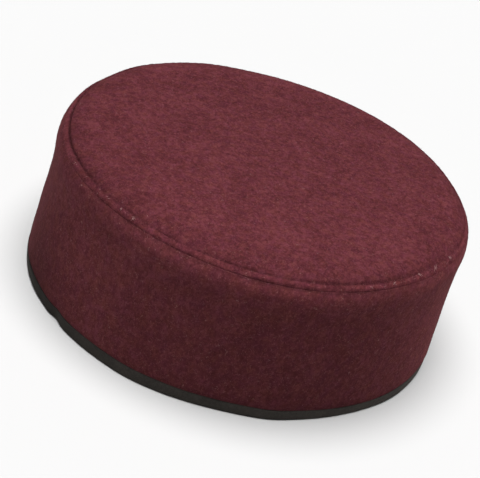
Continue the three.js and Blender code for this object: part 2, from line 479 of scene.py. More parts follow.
def smooth_path(points, step):
    """A smooth curve through section points, cut into even steps."""
    points = np.array(points, float)
    ends = np.concatenate([[2 * points[0] - points[1]], points, [2 * points[-1] - points[-2]]])
    t = np.linspace(0, 1, CURVE_STEPS, endpoint=False)[:, None]
    fine = []
    for before, start, stop, after in zip(ends, ends[1:], ends[2:], ends[3:]):
        bend = 2 * before - 5 * start + 4 * stop - after
        twist = 3 * start - before - 3 * stop + after
        fine.append(start + 0.5 * t * ((stop - before) + t * (bend + t * twist)))
    fine = np.concatenate([*fine, points[-1:]])
    run = run_along(fine)
    even = np.linspace(0, run[-1], max(2, round(run[-1] / step) + 1))
    return np.stack([np.interp(even, run, fine[:, axis]) for axis in (0, 1)], -1)


print("slope of the ridge", slope.round(3), "seam filled by", seam_filled.mean().round(2), "mm on average")

# %% [markdown]
# Felt is never quite smooth: it swells and sinks over a few centimetres, dimples over one, and its nap is
# rough at about a millimetre. Blender's Displace modifier could do that with a texture, but moving the
# vertices in code keeps the mesh free of modifiers and lets the seams have a roughness of their own.

# %% Cloth relief and mesh making
FELT_RELIEF = (
    {"size": 36.0, "height": 0.28},
    {"size": 11.0, "height": 0.11},
    {"size": 2.6, "height": 0.07},
    {"size": 1.2, "height": 0.06},
)
INSIDE_RELIEF = tuple({**row, "height": 0.6 * row["height"]} for row in FELT_RELIEF[:2])
RELIEF_SHIFT = Vector((13.7, 5.1, 9.3))


def relief(points, rows):
    """A height for each point, summed from noise of several sizes."""
    heights = np.zeros(len(points))
    for number, row in enumerate(rows):
        shift = RELIEF_SHIFT * number
        heights += [row["height"] * noise.noise(Vector(p) / row["size"] + shift) for p in points]
    return heights


def mesh_of(name, corners, faces):
    """A mesh from corners in millimetres and its faces, smooth shaded."""
    mesh = bpy.data.meshes.new(name)
    mesh.from_pydata((np.asarray(corners) * MM).tolist(), [], faces)
    mesh.polygons.foreach_set("use_smooth", [True] * len(mesh.polygons))
    mesh.update()
    return mesh


def normals_of(mesh):
    """The outward direction at each corner of a mesh."""
    found = np.empty(len(mesh.vertices) * 3)
    mesh.vertex_normals.foreach_get("vector", found)
    return found.reshape(-1, 3)


def push_out(mesh, corners, heights):
    """Moves each corner along its normal by a height in millimetres, and returns the new corners."""
    moved = corners + normals_of(mesh) * heights[:, None]
    mesh.vertices.foreach_set("co", (moved * MM).ravel())
    mesh.update()
    return moved


def add_piece(name, mesh, finish, slot, *nodes):
    """A piece of the cap, which rides on the part's only body and stands for the nodes named."""
    mesh.materials.append(finish)
    piece = bpy.data.objects.new(name, mesh)
    bpy.context.scene.collection.objects.link(piece)
    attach(piece, "root")
    if nodes:
        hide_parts(*nodes)
    print(name, sum(len(p.vertices) - 2 for p in mesh.polygons), "triangles")
    return piece


def lay_painted_light_and_wear(mesh, values):
    """Keeps painted light and shade, with a little real rub, for each corner; the finish reads it."""
    mesh.attributes.new("wear", "FLOAT", "POINT").data.foreach_set("value", np.asarray(values, float))


def lay_map(mesh, places):
    """Gives each face corner its place on the flat map that the finish can be stored on."""
    mesh.uv_layers.new(name="OFBake").uv.foreach_set("vector", np.asarray(places, float).ravel())


print("felt relief of up to", round(sum(row["height"] for row in FELT_RELIEF), 2), "mm")

# %% [markdown]
# The top is one oval of felt. Its middle is a low dome, its edge sinks into the groove of the topstitch,
# and past that groove it rolls over a narrow ridge down to the seam. A grid of quads would meet the round
# edge badly, so the mesh is rings, with half as many points each time the rings have shrunk by half. Each
# ring also keeps its reach, which is how far past the edge of the dome it lies.

# %% The crown's rings
CLOTH_STEP = 0.75
RIM_STEP = 0.42
UNDER_STEP = 1.6
UNDER_SHARES = (0.96, 0.9, 0.8, 0.68, 0.55, 0.42, 0.3, 0.2, 0.1)
FIRST_RING = 2
MOST_HALVINGS = 4
DOME_EDGE = np.array([-15.0, 78.3])
DOME_POWER = 2.0
CROWN_RIM = (
    DOME_EDGE, (-11.5, 78.0), (-8.5, 77.45), (-6.5, 76.9), (-5.2, 76.35), (-4.3, 75.85),
    beside_seam(3.41, -0.18), beside_seam(2.75, -0.38), beside_seam(2.2, -0.48), beside_seam(1.7, -0.49),
    beside_seam(1.2, -0.41), beside_seam(0.75, -0.26), beside_seam(0.35, -0.02),
    beside_seam(SEAM_HALF_GAP, SEAM_DEPTH),
)
CROWN_UNDER = (
    beside_seam(SEAM_HALF_GAP, FELT_THICK), (-5.9, 73.9), (-9.5, 75.2), DOME_EDGE - (0, FELT_THICK),
)

rim_path = smooth_path(CROWN_RIM, RIM_STEP)
rim_step = np.linalg.norm(rim_path[1] - rim_path[0])
groove_at = np.argmin(np.linalg.norm(rim_path - STITCH, axis=1)) * rim_step
lip_at = (len(rim_path) - 1) * rim_step


def dome_ring(share, most, drop):
    """One ring of the dome: the oval of its edge drawn in to a share, and lowered by a drop."""
    z = DOME_EDGE[1] + (TOP_HEIGHT - DOME_EDGE[1]) * (1 - share ** DOME_POWER) - drop
    count = most // 2 ** min(MOST_HALVINGS, int(-math.log2(share)))
    points = oval(turns(count), DOME_EDGE[0], z)
    points[:, :2] *= share
    return points


def join_rings(first, second, start):
    """Faces between two rings, of which one may have twice the points of the other."""
    few = np.arange(min(len(first), len(second)))
    after = (few + 1) % len(few)
    other = start + len(first)
    if len(first) == len(second):
        return np.stack([few + start, few + other, after + other, after + start], -1)
    between = 2 * few + 1
    if len(first) < len(second):
        narrow = [few + start, after + start]
        wide = [2 * few + other, between + other, 2 * after + other]
    else:
        narrow = [after + other, few + other]
        wide = [2 * after + start, between + start, 2 * few + start]
    fan = [(narrow[0], wide[0], wide[1]), (narrow[0], wide[1], narrow[1]), (narrow[1], wide[1], wide[2])]
    return np.concatenate([np.stack(corners, -1) for corners in fan])


def end_fan(middle, ring, start):
    """Triangles from the point in the middle of the cloth to the ring round it."""
    near = np.arange(len(ring))
    return np.stack([np.full(len(ring), middle), near + start, (near + 1) % len(ring) + start], -1)


def crown_rings():
    """The rings and their reaches, from the middle of the top over the edge and back, and how many show."""
    mean_half = (RIM_HALF_LENGTH + RIM_HALF_WIDTH) / 2 + DOME_EDGE[0]
    steps = round(mean_half / CLOTH_STEP)
    shares = [step / steps for step in range(FIRST_RING, steps)]
    rings = [(dome_ring(share, CAP_ROUND, 0), (share - 1) * mean_half) for share in shares]
    rings += [(seam_ring(row), number * rim_step) for number, row in enumerate(rim_path)]
    outer = len(rings)
    under = smooth_path(CROWN_UNDER, UNDER_STEP)
    counts = [CAP_ROUND, CAP_ROUND // 2] + [CAP_ROUND // 4] * (len(under) - 2)
    for number, (count, row) in enumerate(zip(counts, under)):
        rings.append((oval(turns(count), *row), (len(under) - 1 - number) * UNDER_STEP))
    for share in UNDER_SHARES:
        rings.append((dome_ring(share, CAP_ROUND // 4, FELT_THICK), (share - 1) * mean_half))
    return rings, outer


rings, outer_rings = crown_rings()
print("crown rings", len(rings), "of which on the outside", outer_rings)

# %% [markdown]
# The topstitch sits in a groove. Each needle hole pulls the felt down, and between the holes it swells, so
# the groove's depth follows the stitches. The stitches are counted round the oval at their own height,
# which gives a whole number of them, about four millimetres each. The line was pulled tight on the left and
# lies nearly loose on the right, and it strays a little, so depth, width and place have tables round the
# cap. A bump map could draw the groove, but it wouldn't be there in a mesh that is handed on by itself.

# %% Stitches in the crown
STITCH_SAMPLES = 7200
STITCH_PITCH = 4.2
STITCH_PULL = (
    (0, 0.22), (30, 0.50), (60, 0.60), (120, 0.60), (146, 0.60), (164, 1.00), (178, 1.75), (192, 2.10),
    (205, 1.40), (216, 0.85), (222, 0.60), (238, 0.48), (252, 0.62), (266, 0.90), (284, 0.95), (296, 1.20),
    (306, 1.00), (320, 0.60), (340, 0.25),
)
PULL_SWELLS = ((0.3, 17.0, 0.3), (0.25, 5.0, 4.4))
STRAY_SWELLS = ((0.35, 31.0, 5.5),)
GROOVE_WIDTH = ((0, 1.4), (90, 1.0), (200, 0.95), (280, 1.05), (305, 1.7), (335, 1.8))
GROOVE_DEPTH = 0.5
GROOVE_HALF = 0.6
HOLE_DEPTH = 0.16
PUFFS = ({"past": 1.5, "half": 1.0, "height": 0.03}, {"past": -1.6, "half": 1.3, "height": 0.015})

around = np.linspace(0, 2 * math.pi, STITCH_SAMPLES + 1)
stitch_run = run_along(oval(around, *STITCH))
STITCHES = round(stitch_run[-1] / STITCH_PITCH)


def stitch_swell(turn):
    """1 at each needle hole, -1 half way between two of them."""
    return np.cos(2 * math.pi * np.interp(turn, around, stitch_run) / stitch_run[-1] * STITCHES)


def groove_depth(turn):
    """How deep the thread has pulled the felt at each turn."""
    return GROOVE_DEPTH * round_the_cap(STITCH_PULL, turn) * (1 + uneven(turn, PULL_SWELLS))


def in_groove(reach, turn):
    """1 along the middle of the groove, falling to 0 beside it."""
    half = GROOVE_HALF * round_the_cap(GROOVE_WIDTH, turn)
    return hump(reach - groove_at + uneven(turn, STRAY_SWELLS), half)


def stitch_relief(reach, turn):
    """How the stitches move the felt: down in the groove and its needle holes, up between the holes."""
    swell = stitch_swell(turn)
    held = np.minimum(round_the_cap(STITCH_PULL, turn), 1)
    height = -(groove_depth(turn) + HOLE_DEPTH * swell * held) * in_groove(reach, turn)
    for row in PUFFS:
        height = height - row["height"] * swell * hump(reach - groove_at - row["past"], row["half"])
    return height


print(STITCHES, "stitches of", round(stitch_run[-1] / STITCHES, 2), "mm")

# %% [markdown]
# Now the rings become a mesh. Its painted light goes with its shape: painted shade darkens the felt
# where the thread presses it and in the open seam, a painted highlight, partly a real rub, makes the ridge
# paler, and painted shade makes the top a little darker towards the back. That painted light and shade is
# kept on the corners, which the finish reads. A painted picture would need a file of its own. The map is
# the top seen from above, with its rolled edge spread out round it.

# %% The crown
# Painted shade on the top inside the stitch line, fading inward, by turn.
STITCH_PAINTED_SHADE = (
    (0, 0.06), (60, 0.10), (120, 0.13), (170, 0.22), (200, 0.34), (225, 0.30), (245, 0.14), (280, 0.10),
    (315, 0.20), (340, 0.06),
)
STITCH_SHADE_REACH = 7.0
STITCH_SHADE_FADE = (-2.0, 0.5)
# Painted shade in the stitch groove, stronger where the thread pulls harder.
CREASE_PAINTED_SHADE = 0.26
# Painted highlight along the ridge below the stitch, partly a real rubbed paleness.
RIDGE_HIGHLIGHT_AND_RUB = (
    (0, 0.30), (60, 0.20), (150, 0.15), (190, 0.06), (203, 0.03), (221, 0.03), (228, 0.08), (238, 0.15),
    (250, 0.18), (290, 0.19), (303, 0.26), (320, 0.29), (336, 0.34),
)
RIDGE_SWELLS = ((1.0, 6.0, 1.7),)
RIDGE_HIGHLIGHT_PLACE = {"past": 2.0, "half": 1.1}
# Painted shade on the crown's side of the open seam.
CROWN_SEAM_PAINTED_SHADE = {"depth": 0.105, "half": 1.1}
# Painted shade over the top: a little darker overall, and darker towards the back.
TOP_PAINTED_DIM = 0.03
TOP_SHADE = 0.085
TOP_SHADE_FADE = (-14.0, 8.0)
LIP_FADE = (0.5, 2.2)
UNDER_FADE = (-2.0, 4.0)
OUTER_MAP = {"scale": 0.8 / 204, "middle": (0.41, 0.375)}
UNDER_MAP = {"scale": 0.25 / 184, "middle": (0.16, 0.87)}
EDGE_ON_MAP = 1.5
MIDDLE_REACH = -99.0
OPEN_FROM_LIP = 1.2
LIP_STRIP = (0.3, 2.4)


def felt_fade(distance, start, stop):
    """0 up to start, 1 from stop on, with a soft passage between."""
    share = np.clip((distance - start) / (stop - start), 0, 1)
    return share * share * (3 - 2 * share)


def crown_grid():
    """The crown's points, the reach and turn of each, whether it shows, and its faces ring by ring."""
    middles = [[0, 0, TOP_HEIGHT], [0, 0, TOP_HEIGHT - FELT_THICK]]
    points = np.concatenate([ring for ring, _ in rings] + [middles])
    reach = np.concatenate([np.full(len(ring), past) for ring, past in rings] + [[MIDDLE_REACH] * 2])
    turn = np.concatenate([turns(len(ring)) for ring, _ in rings] + [[0, 0]])
    starts = np.cumsum([0] + [len(ring) for ring, _ in rings])
    top_middle, under_middle = starts[-1], starts[-1] + 1
    on_top = np.arange(len(points)) < starts[outer_rings]
    on_top[top_middle] = True
    strips = [end_fan(top_middle, rings[0][0], 0)]
    strips += [join_rings(rings[n][0], rings[n + 1][0], starts[n]) for n in range(len(rings) - 1)]
    strips.append(end_fan(under_middle, rings[-1][0], starts[-2])[:, [0, 2, 1]])
    return points, reach, turn, on_top, strips


def crown_places(points, reach, turn, on_top, strips):
    """The map of the crown: the top and its spread edge, and beside it the underside."""
    spread = oval(turn, DOME_EDGE[0] + np.maximum(reach, 0), WALL_HEIGHT)[:, :2]
    spread = np.where(reach[:, None] > 0, spread, points[:, :2])
    beyond = oval(turn, DOME_EDGE[0] + lip_at + EDGE_ON_MAP, WALL_HEIGHT)[:, :2]
    places = []
    for number, strip in enumerate(strips):
        layout = OUTER_MAP if number <= outer_rings else UNDER_MAP
        corners = strip.ravel()
        xy = spread[corners]
        if number == outer_rings:
            xy = np.where(on_top[corners, None], xy, beyond[corners])
        places.append(xy * layout["scale"] + layout["middle"])
    return np.concatenate(places)


def crown_painted_light(points, reach, turn):
    """Painted light and shade at each point of the top, with a real rub on the ridge."""
    inward = groove_at - reach
    stitch_shade = round_the_cap(STITCH_PAINTED_SHADE, turn) * np.exp(-np.maximum(inward, 0) / STITCH_SHADE_REACH)
    tone = -stitch_shade * felt_fade(inward, *STITCH_SHADE_FADE)
    tone -= CREASE_PAINTED_SHADE * round_the_cap(STITCH_PULL, turn) * in_groove(reach, turn)
    behind = points[:, 1] / RIM_HALF_WIDTH
    tone -= (TOP_PAINTED_DIM + TOP_SHADE * behind) * (1 - felt_fade(reach, *TOP_SHADE_FADE))
    ridge_highlight_and_rub = round_the_cap(RIDGE_HIGHLIGHT_AND_RUB, turn) * (1 + uneven(turn, RIDGE_SWELLS))
    tone += ridge_highlight_and_rub * hump(-inward - RIDGE_HIGHLIGHT_PLACE["past"], RIDGE_HIGHLIGHT_PLACE["half"])
    tone -= CROWN_SEAM_PAINTED_SHADE["depth"] * seam_open(turn) * hump(lip_at - reach, CROWN_SEAM_PAINTED_SHADE["half"])
    return tone


crown_points, crown_reach, crown_turn, on_top, crown_strips = crown_grid()
crown_faces = [face for strip in crown_strips for face in strip.tolist()]
crown_mesh = mesh_of("crown_felt", crown_points, crown_faces)
top_heights = relief(crown_points, FELT_RELIEF) * felt_fade(lip_at - crown_reach, *LIP_FADE)
top_heights += stitch_relief(crown_reach, crown_turn)
under_heights = relief(crown_points, INSIDE_RELIEF) * (1 - felt_fade(crown_reach, *UNDER_FADE))
crown_points = push_out(crown_mesh, crown_points, np.where(on_top, top_heights, under_heights))
lay_map(crown_mesh, crown_places(crown_points, crown_reach, crown_turn, on_top, crown_strips))
lay_painted_light_and_wear(crown_mesh, np.where(on_top, crown_painted_light(crown_points, crown_reach, crown_turn), 0))
from_lip = lip_at - crown_reach
crown_open = on_top & (from_lip > OPEN_FROM_LIP)
crown_lip = on_top & (from_lip > LIP_STRIP[0]) & (from_lip < LIP_STRIP[1])
crown = add_piece("crown_felt", crown_mesh, crown_paint, "maroon_felt", "crown_top")

# %% [markdown]
# The band is a long strip of the same felt. Its upper edge rolls into the seam, which leaves a soft roll
# under it, brightened by a painted highlight; the wall hangs nearly straight, and its foot is pinched inside
# the binding. At the left the felt comes lower over the binding than elsewhere. A plane bent by a Curve
# modifier could make the strip, but not a section that changes round the cap. The section closes on itself,
# so the rings make a grid, and the grid's map is cut in two halves laid side by side.

# %% The band's section
BAND_INSIDE_STEP = 4.5
BAND_INSIDE = (8.6, 67.0)
CUT_HEIGHT = 68.6
PINCH_OUTSIDE = 0.8
PINCH_INSIDE = 2.2
PINCH_CORNER = 0.3
PINCH_DOWN = (5.2, 3.2, 1.5)
PINCH_UP = (1.5, 4.5, 7.4)
FOOT_BOTTOM = 1.1
FOOT_TOP = 5.7
EVERY_ROW = {"below": 9.5, "above": 66.0}
WALL_TOP = (beside_seam(-SEAM_HALF_GAP, SEAM_DEPTH), beside_seam(-0.3, 0.14), beside_seam(-0.7, 0.11))
WALL_ROWS = (
    (-0.42, 71.85), (-0.12, 71.25), (0.15, 70.5), (0.42, 69.5), (0.60, 68.5), (0.71, 67.5), (0.77, 66.5),
    (0.78, 65.5), (0.73, 64.0), (0.58, 62.0), (0.39, 59.0), (0.28, 55.0), (0.33, 50.0), (0.48, 45.0),
    (0.87, 38.0), (1.42, 28.0), (1.90, 18.0), (2.24, 12.0), (2.38, 9.0), (2.37, 7.5), (2.30, 6.8),
    (2.20, 6.3), (2.05, 5.95), (1.75, FOOT_TOP),
)
FOOT_DIPS = (
    {"turn": 186.0, "half": 13.0, "depth": 3.0},
    {"turn": 242.0, "half": 18.0, "depth": -0.4},
    {"turn": 314.0, "half": 16.0, "depth": 0.75},
)
DIP_FADE = (7.0, 18.0)
MAP_MARGIN = {"along": 0.004, "across": 0.01}


def foot_dip(turn):
    """How much lower than usual the felt comes over the binding at each turn."""
    return sum(row["depth"] * hump(np.degrees(turn) - row["turn"], row["half"]) for row in FOOT_DIPS)


def lowered(z, turn):
    """Heights of the outer face, stretched down where the foot dips and squeezed inside the binding."""
    dip = foot_dip(turn)
    hidden = FOOT_TOP - FOOT_BOTTOM
    squeezed = FOOT_BOTTOM + (z - FOOT_BOTTOM) * (hidden - dip) / hidden
    return np.where(z > FOOT_TOP, z - dip * (1 - felt_fade(z, *DIP_FADE)), squeezed)


def grid_faces(rows, columns):
    """Quads of a grid that closes both ways, and the row and column of each of their corners."""
    row, column = np.meshgrid(np.arange(rows), np.arange(columns), indexing="ij")
    corner_row = np.stack([row, row + 1, row + 1, row], -1).reshape(-1, 4)
    corner_column = np.stack([column, column, column + 1, column + 1], -1).reshape(-1, 4)
    faces = (corner_row % rows) * columns + corner_column % columns
    return faces, corner_row, corner_column


def lay_strips(mesh, section, corner_row, corner_column, strips):
    """Cuts a grid's map into strips laid side by side, each with the whole section across it."""
    run = run_along(np.concatenate([section, section[:1]]))
    per_strip = CAP_ROUND // strips
    strip = corner_column[:, :1] // per_strip
    along = (corner_column - strip * per_strip) / per_strip
    along = MAP_MARGIN["along"] + (1 - 2 * MAP_MARGIN["along"]) * along
    across = MAP_MARGIN["across"] + (1 - 2 * MAP_MARGIN["across"]) * run[corner_row] / run[-1]
    lay_map(mesh, np.stack([along, (strip + across) / strips], -1))


def band_section():
    """Section points down the outside, round the pinched foot, up the inside and over the cut edge."""
    wall = smooth_path([*WALL_TOP, *WALL_ROWS], RIM_STEP)
    close = (wall[:, 1] > EVERY_ROW["above"]) | (wall[:, 1] < EVERY_ROW["below"])
    wall = wall[close | (np.arange(len(wall)) % 2 == 0)]
    outside, inside = flare(FOOT_BOTTOM) - PINCH_OUTSIDE, flare(FOOT_BOTTOM) - PINCH_INSIDE
    foot = [(flare(z) - PINCH_OUTSIDE, z) for z in PINCH_DOWN]
    foot += [(outside - PINCH_CORNER, FOOT_BOTTOM), (inside + PINCH_CORNER, FOOT_BOTTOM)]
    foot += [(flare(z) - PINCH_INSIDE, z) for z in PINCH_UP]
    back = [(flare(z) - FELT_THICK, z) for z in np.arange(*BAND_INSIDE, BAND_INSIDE_STEP)]
    cut = [(flare(CUT_HEIGHT) - FELT_THICK, CUT_HEIGHT), beside_seam(-SEAM_HALF_GAP, FELT_THICK)]
    return np.concatenate([wall, foot, back, cut]), len(wall)


section, wall_rows = band_section()
print("band rings", len(section), "of which on the outside", wall_rows)

# %% [markdown]
# The band's painted light is worked out like the crown's: painted shade at the foot and in the open seam,
# a painted highlight on the roll, and painted light and shade that changes round the cap. Some tables go by
# height and some by degrees, and one of each multiplied describes a patch. Vertex paint could be brushed on
# by hand, but tables can be read and changed. The stitches above pull the band's felt too, which ripples
# the roll.

# %% The band
# Painted shade on the band, darkest at the foot next to the binding.
FOOT_PAINTED_SHADE = ((6, -0.24), (7, -0.19), (8, -0.13), (12, -0.10), (25, -0.05), (45, 0.0))
# Painted highlight on the roll under the seam, by height; round the cap it is scaled, and turned to shade at
# the left.
ROLL_PAINTED_HIGHLIGHT = (
    (57, 0.0), (60, 0.05), (62, 0.08), (64, 0.12), (66, 0.20), (67, 0.26), (68, 0.33), (69, 0.39),
    (70, 0.44), (71, 0.44), (71.6, 0.36), (72.2, 0.15),
)
ROLL_HIGHLIGHT_ROUND = (
    (0, 0.9), (180, 0.5), (203, -0.2), (222, -0.15), (238, 0.8), (250, 1.35), (270, 1.6), (287, 1.8),
    (303, 0.9), (318, 0.5), (330, 0.5), (345, 0.8),
)
# Painted light and shade round the band: darker on the left and the front, lighter at the front left and the
# right end.
ROUND_PAINTED_LIGHT = (
    (20, 0.03), (180, 0.0), (190, -0.08), (198, -0.10), (206, -0.07), (213, 0.03), (222, 0.16), (235, 0.13),
    (246, 0.04), (255, 0.0), (270, -0.07), (280, -0.10), (291, -0.14), (302, -0.08), (311, -0.02),
    (318, 0.06), (326, 0.21), (334, 0.36), (342, 0.46), (354, 0.38),
)
# Painted light on the left of the band: lighter on the upper wall, darker on the lower wall.
LEFT_PAINTED_LIGHT = (
    (8, -0.28), (20, -0.24), (30, -0.12), (40, -0.03), (50, 0.0), (58, 0.11), (66, 0.18), (69, 0.14),
    (71, -0.05),
)
LEFT_LIGHT_ROUND = ((182, 0.0), (196, 1.0), (210, 1.0), (218, 0.45), (228, 0.0))
# Painted shade on the band's side of the open seam.
BAND_SEAM_PAINTED_SHADE = {"depth": 0.39, "half": 1.3}
ROLL_PULL = {"size": 7.0, "level": 3.1, "height": 0.22}
ROLL_RIPPLE = 0.05
ROLL_PLACE = {"run": 3.2, "half": 2.2}
FREE_OF_SEAM = (0.5, 2.4)
FREE_OF_FOOT = (6.4, 8.8)
INSIDE_FOOT_FADE = (9.0, 18.0)
INSIDE_TOP_FADE = (64.0, 70.0)
NAP_PAST_SEAM = 1.0
NAP_ABOVE_FOOT = 6.5
BAND_LIP_STRIP = (0.3, 2.2)


def band_painted_light(z, run, turn):
    """Painted light and shade at each point of the band."""
    tone = np.interp(z, *zip(*FOOT_PAINTED_SHADE)) + round_the_cap(ROUND_PAINTED_LIGHT, turn)
    tone += np.interp(z, *zip(*ROLL_PAINTED_HIGHLIGHT)) * round_the_cap(ROLL_HIGHLIGHT_ROUND, turn)
    tone += np.interp(z, *zip(*LEFT_PAINTED_LIGHT)) * round_the_cap(LEFT_LIGHT_ROUND, turn)
    return tone - BAND_SEAM_PAINTED_SHADE["depth"] * seam_open(turn) * hump(run, BAND_SEAM_PAINTED_SHADE["half"])


def make_band():
    """The band's mesh and points, where its nap can stand, and where fibres close the seam."""
    wall = [seam_ring(row) for row in section[:wall_rows]]
    points = np.concatenate(wall + [oval(ring_turns, *row) for row in section[wall_rows:]])
    row_of = np.repeat(np.arange(len(section)), CAP_ROUND)
    turn = np.tile(ring_turns, len(section))
    faces_out = row_of < wall_rows + len(PINCH_DOWN)
    points[faces_out, 2] = lowered(points[faces_out, 2], turn[faces_out])
    faces, corner_row, corner_column = grid_faces(len(section), CAP_ROUND)
    mesh = mesh_of("band_felt", points, faces.tolist())

    run = run_along(section)[row_of]
    outside = row_of < wall_rows
    z = points[:, 2]
    above_foot = z + foot_dip(turn)
    pull_places = [(x / ROLL_PULL["size"], y / ROLL_PULL["size"], ROLL_PULL["level"]) for x, y, _ in points]
    pull = ROLL_PULL["height"] * np.array([noise.noise(Vector(place)) for place in pull_places])
    roll = (pull - ROLL_RIPPLE * stitch_swell(turn)) * hump(run - ROLL_PLACE["run"], ROLL_PLACE["half"])
    free = felt_fade(run, *FREE_OF_SEAM) * felt_fade(above_foot, *FREE_OF_FOOT)
    plain = felt_fade(z, *INSIDE_FOOT_FADE) * (1 - felt_fade(z, *INSIDE_TOP_FADE))
    outer_heights = (relief(points, FELT_RELIEF) + roll) * free
    heights = np.where(outside, outer_heights, relief(points, INSIDE_RELIEF) * plain)
    points = push_out(mesh, points, heights)
    lay_strips(mesh, section, corner_row, corner_column, 2)
    lay_painted_light_and_wear(mesh, np.where(outside, band_painted_light(points[:, 2], run, turn), 0))
    is_open = outside & (run > NAP_PAST_SEAM) & (above_foot > NAP_ABOVE_FOOT)
    is_lip = outside & (run > BAND_LIP_STRIP[0]) & (run < BAND_LIP_STRIP[1])
    return mesh, points, is_open, is_lip


band_mesh, band_points, band_open, band_lip = make_band()
band = add_piece("band_felt", band_mesh, band_paint, "maroon_felt", "side_band")

# %% [markdown]
# The topstitch is a lockstitch in dark maroon thread: from outside, a row of short strokes that come out of
# one needle hole and go down the next. Each stroke is two strands twisted round each other. A curve with a
# round bevel would do for one strand, but a mesh swept along a formula gives all strokes at once. The map
# runs along each strand, so a ramp paints shade at its ends, where they sink into the holes.

# %% Topstitch
STRAND_RADIUS = 0.125
STRAND_APART = 0.1
STRAND_SIDES = 8
STRAND_STEPS = 14
STRAND_TWISTS = 1.6
STROKE_START = (0.07, 0.02)
STROKE_LENGTH = 0.86
STROKE_SWAY = 0.10
STROKE_BED = (0.08, 0.07)
STROKE_SINK = 0.4
STROKE_RISE = 0.5
MOST_WIND = 6.28
THREAD_SEED = 41
# Painted shade at both ends of each stroke, with the thread's own colour in the middle.
THREAD_STOPS_WITH_END_SHADE = ((0, (0.030, 0.005, 0.007)), (0.5, (0.072, 0.014, 0.018)), (1, (0.030, 0.005, 0.007)))
CAP_MAP = {"middle": (0.01, 0.5), "radius": 0.01}


def ramp_finish(name, stops, roughness, specular):
    """A finish whose colour changes along the first direction of the piece's map."""
    finish, shader, wire = new_finish(name)
    along = wire.node("ShaderNodeSeparateXYZ", {}, {0: wire.node("ShaderNodeTexCoord", output="UV")})
    plug(wire.node("ShaderNodeValToRGB", {"stops": stops}, {0: along}), shader, "Base Color")
    settle(shader, {"Roughness": roughness, "Specular IOR Level": specular})
    return finish


def unit(vectors):
    """The same directions with a length of one."""
    return vectors / np.linalg.norm(vectors, axis=-1, keepdims=True)


def thread_corners(draw):
    """Corners of all strands: stroke by stroke, strand by strand, ring by ring."""
    each = (STITCHES, 1)
    step = np.linspace(0, 1, STRAND_STEPS + 1)
    phase = np.arange(STITCHES)[:, None] + draw.normal(*STROKE_START, each) + STROKE_LENGTH * step
    turn = np.interp(phase / STITCHES * stitch_run[-1], stitch_run, around)
    sway = draw.normal(0, STROKE_SWAY, each) + draw.normal(0, STROKE_SWAY, each) * (step - 0.5)
    sway = sway + uneven(turn.ravel(), STRAY_SWELLS).reshape(turn.shape)
    bed = draw.normal(*STROKE_BED, each) - groove_depth(turn.ravel()).reshape(turn.shape)
    lift = bed - STROKE_SINK + STROKE_RISE * np.sqrt(np.sin(math.pi * step))
    outset, z = (STITCH[n] + slope[n] * sway - into_cloth[n] * lift for n in (0, 1))
    line = oval(turn, outset, z)
    ahead = unit(np.gradient(line, axis=1))
    level = unit(np.cross(ahead, (0, 0, 1.0)))
    upward = np.cross(level, ahead)
    side = turns(STRAND_SIDES)[:, None]
    ring = STRAND_RADIUS * (np.cos(side) * level[..., None, :] + np.sin(side) * upward[..., None, :])
    corners = []
    for strand in (0, 1):
        wind = 2 * math.pi * (STRAND_TWISTS * step + strand / 2) + draw.uniform(0, MOST_WIND, each)
        middle = line + STRAND_APART * (np.cos(wind)[..., None] * level + np.sin(wind)[..., None] * upward)
        corners.append(middle[..., None, :] + ring)
    return np.stack(corners, 1).reshape(-1, 3)


def make_topstitch():
    """The mesh of all strands: a tube for each, with a flat cap at both ends."""
    row, side = np.divmod(np.arange(STRAND_STEPS * STRAND_SIDES), STRAND_SIDES)
    near = row * STRAND_SIDES + side
    close = row * STRAND_SIDES + (side + 1) % STRAND_SIDES
    tube = np.stack([near, near + STRAND_SIDES, close + STRAND_SIDES, close], -1)
    rim = np.arange(STRAND_SIDES)
    caps = np.stack([rim, rim[::-1] + STRAND_STEPS * STRAND_SIDES])
    firsts = np.arange(STITCHES * 2)[:, None, None] * (STRAND_STEPS + 1) * STRAND_SIDES
    faces = (firsts + tube).reshape(-1, 4).tolist() + (firsts + caps).reshape(-1, STRAND_SIDES).tolist()
    mesh = mesh_of("topstitch", thread_corners(np.random.default_rng(THREAD_SEED)), faces)
    along = np.stack([row, row + 1, row + 1, row], -1) / STRAND_STEPS
    across = np.stack([side, side, side + 1, side + 1], -1) / STRAND_SIDES
    tube_map = np.tile(np.stack([along, across], -1).reshape(-1, 2), (STITCHES * 2, 1))
    circle = np.stack([np.cos(turns(STRAND_SIDES)), np.sin(turns(STRAND_SIDES))], -1)
    cap_map = np.tile(CAP_MAP["middle"] + CAP_MAP["radius"] * circle, (STITCHES * 4, 1))
    lay_map(mesh, np.concatenate([tube_map, cap_map]))
    return mesh


thread_paint = ramp_finish("stitch_thread", THREAD_STOPS_WITH_END_SHADE, roughness=0.85, specular=0.08)
topstitch = add_piece("topstitch", make_topstitch(), thread_paint, "maroon_felt")

# %% [markdown]
# The binding is a strip of dark cloth folded over the foot of the band, with its two raw edges turned in.
# It is soft, so its outer leg is rounded, its upper edge wanders a little, and it puckers where it is sewn.
# At the front left its ends lap, and the cloth swells there a little. A Solidify modifier could thicken a
# plain strip, but the fold and the turned edges need a section of their own.

